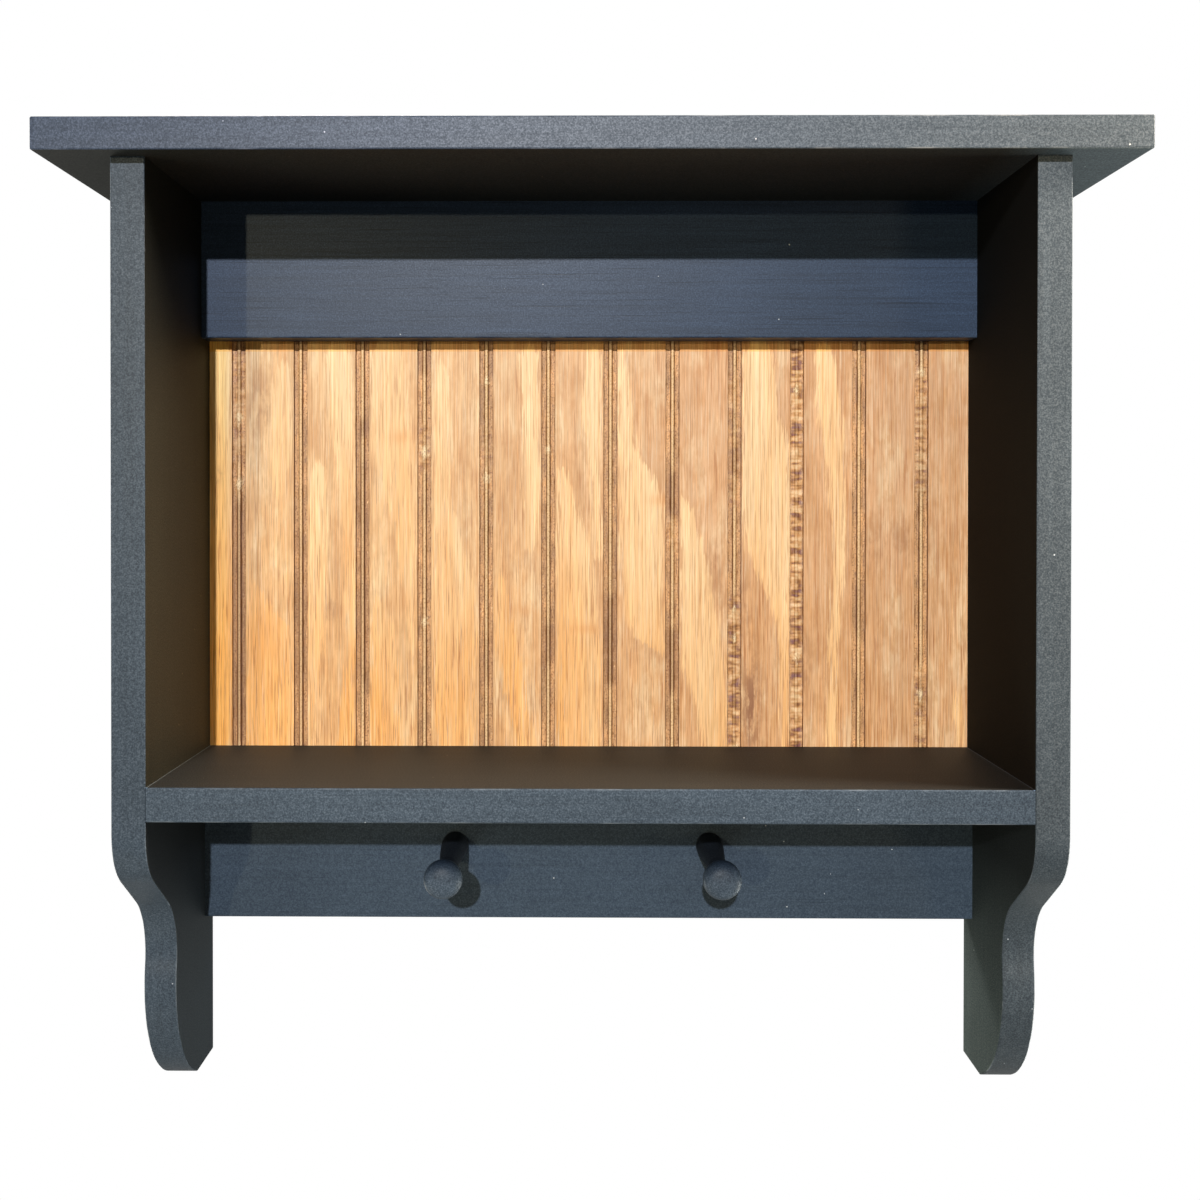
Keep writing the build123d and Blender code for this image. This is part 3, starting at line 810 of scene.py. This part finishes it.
def beadedPanel():
    low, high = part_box("beadboard_panel")
    lowX, highX, lowZ, highZ = (value / mm for value in (low.x, high.x, low.z, high.z))
    columns = panelColumns(lowX, highX)
    rows = round((highZ - lowZ) / beads["rowStep"])

    bm = bmesh.new()
    figures = bm.verts.layers.float_vector.new("figure")
    torn = bm.verts.layers.float_vector.new("torn")
    grid = []
    for row in range(rows + 1):
        z = lowZ + (highZ - lowZ) * row / rows
        line = []
        for x, deep, across, index in columns:
            tear = burn = chip = slip = 0.0
            if abs(across) < beads["reach"]:
                tear = grooveMark(beads["torn"], index, z)
                burn = grooveMark(beads["burnt"], index, z)
                chip = chipped(index, across, z)
                deep, slip = tornDepth(x, z, deep, across, index, tear, chip)
            vert = bm.verts.new(((x + slip) * mm, (deep - beads["thickness"]) * mm, z * mm))
            vert[torn] = (tear, burn, chip)
            vert[figures] = (tongueEdge(x, z), soaked(figure["resin"], x, z), soaked(figure["stain"], x, z))
            line.append(vert)
        grid.append(line)
    for a, b in zip(grid, grid[1:]):
        for i in range(len(columns) - 1):
            bm.faces.new([a[i], a[i + 1], b[i + 1], b[i]])
    # the back face and the sawn edges
    back = [(lowX, lowZ), (highX, lowZ), (highX, highZ), (lowX, highZ)]
    back = [bm.verts.new((x * mm, 0.0, z * mm)) for x, z in back]
    for corner in back:
        corner[figures] = (-2.0, 0.0, 0.0)
    bm.faces.new(list(reversed(back)))
    bm.faces.new([back[0], back[1]] + list(reversed(grid[0])))
    bm.faces.new([back[2], back[3]] + list(grid[-1]))
    bm.faces.new([back[1], back[2]] + [line[-1] for line in reversed(grid)])
    bm.faces.new([back[3], back[0]] + [line[0] for line in grid])
    mesh = meshFrom(bm, "panel")

    recesses = keyholeCutters("plate", high.y - keyholes["plateDeep"] * mm, high.y + past)
    brads = [(sign * panelBrads["sideAcross"], z) for sign in (-1, 1) for z in panelBrads["sideHeights"]]
    brads += [(x, z) for x in panelBrads["across"] for z in panelBrads["heights"]]
    for x, z in brads:
        hole = ring((x * mm, z * mm), panelBrads["radius"] * mm, 16)
        recesses.append(outlineCutter(hole, 1, high.y - panelBrads["deep"] * mm, high.y + past))
    start, stop = (value * mm for value in keyholes["through"])
    bores = keyholeCutters("slot", start, stop)
    for x in keyholes["across"]:
        for z in keyholes["screwHeights"]:
            bores.append(outlineCutter(ring((x * mm, z * mm), keyholes["screwRadius"] * mm), 1, start, stop))
    return carved(mesh, recesses, bores)


# birch-cored plywood with a rotary-cut pine face, wiped with a honey stain: pale tongues of
# early wood in tan late wood, short resin streaks, and torn brown cores in the channels
plywood = {
    "noises": {  # width and length of each noise's cells in mm, detail
        "ragged": (1.1, 24.0, 4.0), "broad": (26.0, 150.0, 2.0), "bandlet": (4.0, 120.0, 2.0),
        "patch": (15.0, 44.0, 3.0), "mottle": (4.5, 13.0, 4.0), "streak": (0.62, 28.0, 2.5),
        "hatch": (0.42, 20.0, 2.0), "fibre": (0.5, 34.0, 2.0), "thread": (0.9, 120.0, 3.0),
        "core": (1.0, 1.2, 3.0), "coreLine": (0.42, 16.0, 2.0), "coreDrift": (7.0, 20.0, 3.0),
        "rung": (11.0, 3.0, 1.0)},
    "spreads": {  # noise, two of its values and what they become
        "ragged": ("ragged", 0.25, 0.75, -4.2, 4.2),  # mm, how far the tongues' edges are drawn out
        "broad": ("broad", 0.35, 0.65, -0.12, 0.3),
        "lightPatch": ("patch", 0.47, 0.32, 0.0, 0.34),
        "darkPatch": ("patch", 0.50, 0.68, 0.0, 0.6),
        "mottle": ("mottle", 0.47, 0.64, 0.0, 0.62),
        "bandlet": ("bandlet", 0.3, 0.7, 0.92, 1.08),
        "thread": ("thread", 0.32, 0.62, 0.0, 1.0),
        "hatch": ("hatch", 0.3, 0.7, 0.82, 1.13),
        "resin": ("streak", 0.3, 0.7, 0.2, 0.9),
        "stain": ("mottle", 0.42, 0.58, 0.2, 1.0),
        "coreDrift": ("coreDrift", 0.3, 0.7, 0.66, 1.28),
        "coreLine": ("coreLine", 0.48, 0.60, 0.0, 0.55),
        "fleck": ("core", 0.35, 0.55, 0.45, 1.0),
        "splinter": ("core", 0.40, 0.55, 0.2, 0.95),
        "backPatch": ("patch", 0.50, 0.72, 0.0, 0.5)},
    "softEdge": 0.8,  # mm, from tan wood to a pale tongue
    "threadDark": (0.84, 0.73, 0.59, 1),
    "threadPale": (1.08, 1.17, 1.28, 1),
    "underRailShadow": (1.02, 0.84, 0.46, 1),  # painted golden shadow in the strip under the rail
    "leftStripLight": (1.07, 1.04, 0.74, 1),  # painted warm light in the strip beside the left side, where the side's shadow falls
    "roughness": 0.52,
    "bump": 0.07,  # mm
    "bumpStrength": 0.45,
}
veneer = {
    "cream": "#f9d09a", "golden": "#f3ae5f", "tanLeft": "#e9ba83", "tanRight": "#d8a475",
    "light": "#fbe0b2", "mottle": "#cb9056", "resin": "#d98f45", "stain": "#925f3c",
    "streak": "#a9642a", "fibre": "#ffeac8", "coreDark": "#8d5d38", "core": "#d49f68",
    "coreLight": "#f2cf9f", "line": "#6c4020", "bead": "#f3cd99", "purple": "#734552",
    "back": "#c49a6b", "backPale": "#dcbb8d",
}


def stainedPlywood():
    material, tree = newMaterial("honey-stained rotary-cut pine plywood")
    place = put(tree, "TexCoord").outputs["Object"]
    x, y, z = put(tree, "SeparateXYZ", [place]).outputs
    figures = put(tree, "Attribute", attribute_name="figure").outputs["Vector"]
    fromEdge, resinSpots, stainSpots = put(tree, "SeparateXYZ", [figures]).outputs
    cuts = put(tree, "Attribute", attribute_name="torn").outputs["Vector"]
    torn, burnt, chip = put(tree, "SeparateXYZ", [cuts]).outputs
    grains = {}
    for key, (width, length, detail) in plywood["noises"].items():
        scaled = put(tree, "VectorMath", [place, cellsPerMetre(width, length, 2)], operation="MULTIPLY")
        grains[key] = put(tree, "TexNoise", {
            "Vector": scaled, "Scale": 1.0, "Detail": detail, "Roughness": 0.6})
    spread = {}
    for key, (grain, *limits) in plywood["spreads"].items():
        spread[key] = put(tree, "MapRange", [grains[grain], *limits])

    # pale or tan, more golden towards the lower left
    edge = put(tree, "Math", [fromEdge, spread["ragged"]], operation="ADD")
    pale = put(tree, "MapRange", [edge, -plywood["softEdge"], plywood["softEdge"]],
               interpolation_type="SMOOTHSTEP")
    rightward = put(tree, "MapRange", [x, -0.12, 0.10])
    lower = put(tree, "MapRange", [z, -0.07, -0.28])
    leftGold = put(tree, "MapRange", [rightward, 0.0, 1.0, 0.95, 0.45])
    gold = put(tree, "Math", [lower, leftGold, spread["broad"]], operation="MULTIPLY_ADD", use_clamp=True)
    goldShare = put(tree, "Math", [gold, 0.4], operation="MULTIPLY")
    mottled = put(tree, "MapRange", [rightward, 0.0, 1.0, 0.55, 1.0])
    mottled = put(tree, "Math", [spread["mottle"], mottled], operation="MULTIPLY")
    paleWood = put(tree, "Mix", {0: gold, 6: veneer["cream"], 7: veneer["golden"]}, **laidOn)
    wood = put(tree, "Mix", {0: rightward, 6: veneer["tanLeft"], 7: veneer["tanRight"]}, **laidOn)
    for share, colour in (
            (goldShare, veneer["golden"]), (spread["lightPatch"], veneer["light"]),
            (spread["darkPatch"], veneer["mottle"]), (mottled, veneer["mottle"]), (pale, paleWood)):
        wood = put(tree, "Mix", {0: share, 6: wood, 7: colour}, **laidOn)

    # fine grain, resin and soaked clouds, a painted golden shadow under the rail, and painted warm light in
    # the strip beside the left side
    thread = put(tree, "Mix", {
        0: spread["thread"], 6: plywood["threadDark"], 7: plywood["threadPale"]}, **laidOn)
    streak = put(tree, "ValToRGB", [grains["streak"]], [(0.56, 0.0), (0.64, 1.0)])
    streakGold = put(tree, "Math", [gold, 0.4, 0.42], operation="MULTIPLY_ADD")
    streakShare = put(tree, "Math", [streak, streakGold], operation="MULTIPLY")
    fibre = put(tree, "ValToRGB", [grains["fibre"]], [(0.54, 0.0), (0.74, 1.0)])
    fibreShare = put(tree, "Math", [fibre, 0.4], operation="MULTIPLY")
    resin = put(tree, "Math", [resinSpots, spread["resin"]], operation="MULTIPLY", use_clamp=True)
    stain = put(tree, "Math", [stainSpots, spread["stain"]], operation="MULTIPLY", use_clamp=True)
    # painted shade: the panel tinted golden from just under the rail upwards
    underRail = put(tree, "MapRange", [z, -0.0497, -0.0493])
    # painted warm light: the strip beside the left side made warmer and a little lighter
    leftStrip = put(tree, "MapRange", [x, -0.2265, -0.2325])
    for share, colour, way in (
            (1.0, spread["bandlet"], tinting), (1.0, thread, tinting),
            (streakShare, veneer["streak"], laidOn), (1.0, spread["hatch"], tinting),
            (fibreShare, veneer["fibre"], laidOn), (resin, veneer["resin"], laidOn),
            (stain, veneer["stain"], laidOn), (underRail, plywood["underRailShadow"], tinting),
            (leftStrip, plywood["leftStripLight"], tinting)):
        wood = put(tree, "Mix", {0: share, 6: wood, 7: colour}, **way)

    # where across a groove this is, mm from its centre
    across = put(tree, "Math", [x, 1 / mm, beads["pitch"] / 2 - beads["first"]], operation="MULTIPLY_ADD")
    across = put(tree, "Math", [across, beads["pitch"], 0.0], operation="WRAP")
    across = put(tree, "Math", [across, -beads["pitch"] / 2], operation="ADD")
    across = put(tree, "Math", [across], operation="ABSOLUTE")
    frontSide = put(tree, "Math", [y, -0.004], operation="LESS_THAN")
    inGroove = put(tree, "MapRange", [across, beads["shoulder"] - 0.05, beads["shoulder"] + 0.25, 1.0, 0.0])
    inGroove = put(tree, "Math", [inGroove, frontSide], operation="MULTIPLY")

    # the cores, with torn rungs, the pale bead, dark lines at the cuts and splinters
    core = put(tree, "ValToRGB", [grains["core"]], [
        (0.32, veneer["coreDark"]), (0.48, veneer["core"]), (0.60, veneer["core"]),
        (0.74, veneer["coreLight"])])
    rung = put(tree, "ValToRGB", [grains["rung"]], [
        (0.30, veneer["purple"]), (0.40, veneer["coreDark"]), (0.52, veneer["core"]),
        (0.70, veneer["coreLight"])])
    rungShare = put(tree, "MapRange", [across, 2.6, 3.6, 0.8, 0.3])
    rungShare = put(tree, "Math", [rungShare, torn], operation="MULTIPLY")
    whole = put(tree, "MapRange", [torn, 0.1, 0.7, 0.8, 0.1])
    whole = put(tree, "Math", [whole, spread["fleck"]], operation="MULTIPLY")
    beadShare = put(tree, "MapRange", [across, 0.5, 0.85, 1.0, 0.0])
    beadShare = put(tree, "Math", [beadShare, whole], operation="MULTIPLY")
    burntShare = put(tree, "Math", [burnt, 0.45], operation="MULTIPLY")
    outerLine = put(tree, "Math", [across, beads["shoulder"]], operation="SUBTRACT")
    outerLine = put(tree, "Math", [outerLine], operation="ABSOLUTE")
    innerLine = put(tree, "Math", [across, beads["crown"]], operation="SUBTRACT")
    innerLine = put(tree, "Math", [innerLine], operation="ABSOLUTE")
    innerLine = put(tree, "Math", [burnt, -0.35, innerLine], operation="MULTIPLY_ADD")
    innerLine = put(tree, "Math", [torn, 0.4, innerLine], operation="MULTIPLY_ADD")
    lineShare = put(tree, "Math", [outerLine, innerLine], operation="MINIMUM")
    lineShare = put(tree, "MapRange", [lineShare, 0.12, 0.40, 0.82, 0.0])
    chipShare = put(tree, "MapRange", [chip, 0.1, 0.8])
    chipShare = put(tree, "Math", [chipShare, spread["splinter"]], operation="MULTIPLY")
    for share, colour, way in (
            (1.0, spread["coreDrift"], tinting), (spread["coreLine"], veneer["line"], laidOn),
            (rungShare, rung, laidOn), (beadShare, veneer["bead"], laidOn),
            (burntShare, veneer["coreDark"], laidOn), (lineShare, veneer["line"], laidOn),
            (chipShare, veneer["light"], laidOn)):
        core = put(tree, "Mix", {0: share, 6: core, 7: colour}, **way)
    wood = put(tree, "Mix", {0: inGroove, 6: wood, 7: core}, **laidOn)

    # the unstained back veneer
    behind = put(tree, "Math", [y, -0.0035], operation="GREATER_THAN")
    backPale = put(tree, "Math", [grains["ragged"], 0.16, grains["broad"]], operation="MULTIPLY_ADD")
    backPale = put(tree, "MapRange", [backPale, 0.555, 0.60, 0.0, 0.75])
    backStreak = put(tree, "Math", [streak, 0.35], operation="MULTIPLY")
    back = put(tree, "Mix", {0: backPale, 6: veneer["back"], 7: veneer["backPale"]}, **laidOn)
    for share, colour, way in (
            (spread["backPatch"], veneer["mottle"], laidOn), (1.0, spread["bandlet"], tinting),
            (backStreak, veneer["stain"], laidOn)):
        back = put(tree, "Mix", {0: share, 6: back, 7: colour}, **way)
    wood = put(tree, "Mix", {0: behind, 6: wood, 7: back}, **laidOn)

    relief = put(tree, "Math", [grains["streak"], 0.6, grains["hatch"]], operation="MULTIPLY_ADD")
    relief = put(tree, "Math", [grains["core"], inGroove, relief], operation="MULTIPLY_ADD")
    bump = put(tree, "Bump", {
        "Strength": plywood["bumpStrength"], "Distance": plywood["bump"] * mm, "Height": relief})
    surface = put(tree, "BsdfPrincipled", {
        "Base Color": wood, "Roughness": plywood["roughness"], "Normal": bump, "IOR": 1.46})
    put(tree, "OutputMaterial", [surface])
    return material


panel = finishPiece("stained_beadboard_panel", beadedPanel(), stainedPlywood(),
                    ["beadboard_panel"], smoothAngle=60)
print("panel beaded:", len(panel.data.vertices), "points")


# zinc-plated pressed steel and bright drawn wire: a faint spangle and fine rolling lines
steel = {
    "spangleSize": 1.6667,  # mm
    "lineWidth": 0.25,  # mm, drawn as coarse as it needs to show
    "lineLength": 11.111,  # mm
    "bump": 0.01,  # mm
}


def platedSteel(name, colour, roughness):
    material, tree = newMaterial(name)
    place = put(tree, "TexCoord").outputs["Object"]
    spangle = put(tree, "TexVoronoi", {"Vector": place, "Scale": 1000 / steel["spangleSize"]})
    cells = cellsPerMetre(steel["lineWidth"], steel["lineLength"], 2)
    rolled = put(tree, "VectorMath", [place, cells], operation="MULTIPLY")
    rolled = put(tree, "TexNoise", {"Vector": rolled, "Scale": 1.0, "Detail": 2.0})
    tone = put(tree, "MapRange", [spangle.outputs["Color"], 0.0, 1.0, 0.86, 1.08])
    metal = put(tree, "Mix", {0: 1.0, 6: colour, 7: tone}, **tinting)
    rough = put(tree, "MapRange", [rolled, 0.3, 0.7, roughness - 0.06, roughness + 0.08])
    bump = put(tree, "Bump", {"Strength": 0.3, "Distance": steel["bump"] * mm, "Height": rolled})
    surface = put(tree, "BsdfPrincipled", {
        "Base Color": metal, "Metallic": 1.0, "Roughness": rough, "Normal": bump})
    put(tree, "OutputMaterial", [surface])
    return material


zinc = platedSteel("zinc-plated pressed steel", "#c3c6c8", 0.32)
wire = platedSteel("bright drawn steel wire", "#a9abad", 0.28)
plates = ["left_hanger", "right_hanger", "hanger_screws"]
drawn = ["top_nails", "shelf_nails", "upper_rail_nails", "peg_rail_nails", "panel_brads"]
for names, metal in ((plates, zinc), (drawn, wire)):
    for name in names:
        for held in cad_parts[name].material_slots:
            held.material = metal
print("metal plated")


# light: a small distant flash high at the left, a weaker one beyond it, a warm fill and a grazing
# lamp at the right, and soft lamps low in front, beside and behind
lamps = {  # place, aim, size in m, power in W, tint
    "flash": ((-0.43, -6.05, 1.72), (0, -0.05, -0.15), 0.09, 364.0, (0.95, 0.965, 1.0)),
    "leftFlash": ((-1.2, -4.0, 0.30), (0, -0.05, -0.15), 0.06, 31.0, (1.0, 0.86, 0.55)),
    "warmFill": ((1.6, -3.4, -0.2), (0, -0.05, -0.15), 0.5, 10.0, (1.0, 0.80, 0.48)),
    "rightHigh": ((1.3, -0.35, 0.5), (0.3, -0.1, 0), 0.4, 46.0, (1.0, 0.90, 0.78)),
    "lowLeft": ((-0.9, -0.5, -1.1), (-0.2, -0.05, -0.15), 0.5, 3.5, (1.0, 1.0, 0.85)),
    "lowRight": ((1.2, -0.1, -0.9), (0.27, -0.08, 0), 0.5, 12.0, (1.0, 1.0, 0.88)),
    "sideLeft": ((-1.5, 0.1, 0.05), (-0.2, -0.05, -0.15), 0.8, 18.0, (1.0, 0.97, 0.88)),
    "backLeft": ((-1.1, 0.8, -0.9), (0, -0.05, -0.15), 0.8, 6.0, (1.0, 1.0, 0.92)),
    "backRight": ((1.1, 0.8, -0.9), (0, -0.05, -0.15), 0.8, 8.0, (0.95, 1.0, 0.97)),
    "backHigh": ((-0.6, 1.9, 0.9), (0, -0.05, -0.15), 0.6, 34.0, (1.0, 0.98, 0.94)),
}
for name, (place, aim, size, power, tint) in lamps.items():
    data = bpy.data.lights.new(name, "AREA")
    data.shape = "DISK"
    data.size = size
    data.energy = power
    data.color = tint
    lamp = bpy.data.objects.new(name, data)
    lamp.location = place
    lamp.rotation_euler = (Vector(aim) - Vector(place)).to_track_quat("-Z", "Y").to_euler()
    bpy.context.scene.collection.objects.link(lamp)


# the white surroundings that the camera, clear things and, faintly, gloss can see
studio = {
    "mirrored": 0.14,  # how much of the white a glossy surface shows
    "dimColour": (1.0, 0.95, 0.88, 1), "dim": 0.015,  # what the world adds to the light
    "corners": ((-2.4, -3.2), (2.4, -3.2), (2.4, 1.15), (-2.4, 1.15)), "floorHeight": -1.25,  # m
    "floorColour": "#6f6f70", "floorGlow": 0.75, "floorWhite": 0.8,
}


def whiteShare(tree):
    rays = put(tree, "LightPath").outputs
    seen = put(tree, "Math", [rays["Is Camera Ray"], rays["Is Transmission Ray"]], operation="MAXIMUM")
    mirrored = put(tree, "Math", [rays["Is Glossy Ray"], studio["mirrored"]], operation="MULTIPLY")
    return put(tree, "Math", [seen, mirrored], operation="MAXIMUM")


world = bpy.data.worlds.new("studio")
bpy.context.scene.world = world
world.use_nodes = True
tree = world.node_tree
tree.nodes.clear()
dim = put(tree, "Background", [studio["dimColour"], studio["dim"]])
white = put(tree, "Background", [(1, 1, 1, 1), 1.0])
put(tree, "OutputWorld", [put(tree, "MixShader", [whiteShare(tree), dim, white])])

# pale floor, well below
floorMesh = bpy.data.meshes.new("floor")
floorMesh.from_pydata([(*corner, studio["floorHeight"]) for corner in studio["corners"]], [], [(0, 1, 2, 3)])
floor = bpy.data.objects.new("floor", floorMesh)
bpy.context.scene.collection.objects.link(floor)
floorMaterial, tree = newMaterial("matt white paint on board")
matt = put(tree, "BsdfDiffuse", [studio["floorColour"]])
glow = put(tree, "Emission", [(1, 1, 1, 1), studio["floorGlow"]])
shown = put(tree, "Math", [whiteShare(tree), studio["floorWhite"]], operation="MULTIPLY")
put(tree, "OutputMaterial", [put(tree, "MixShader", [shown, matt, glow])])
floorMesh.materials.append(floorMaterial)
print("lights and floor placed")
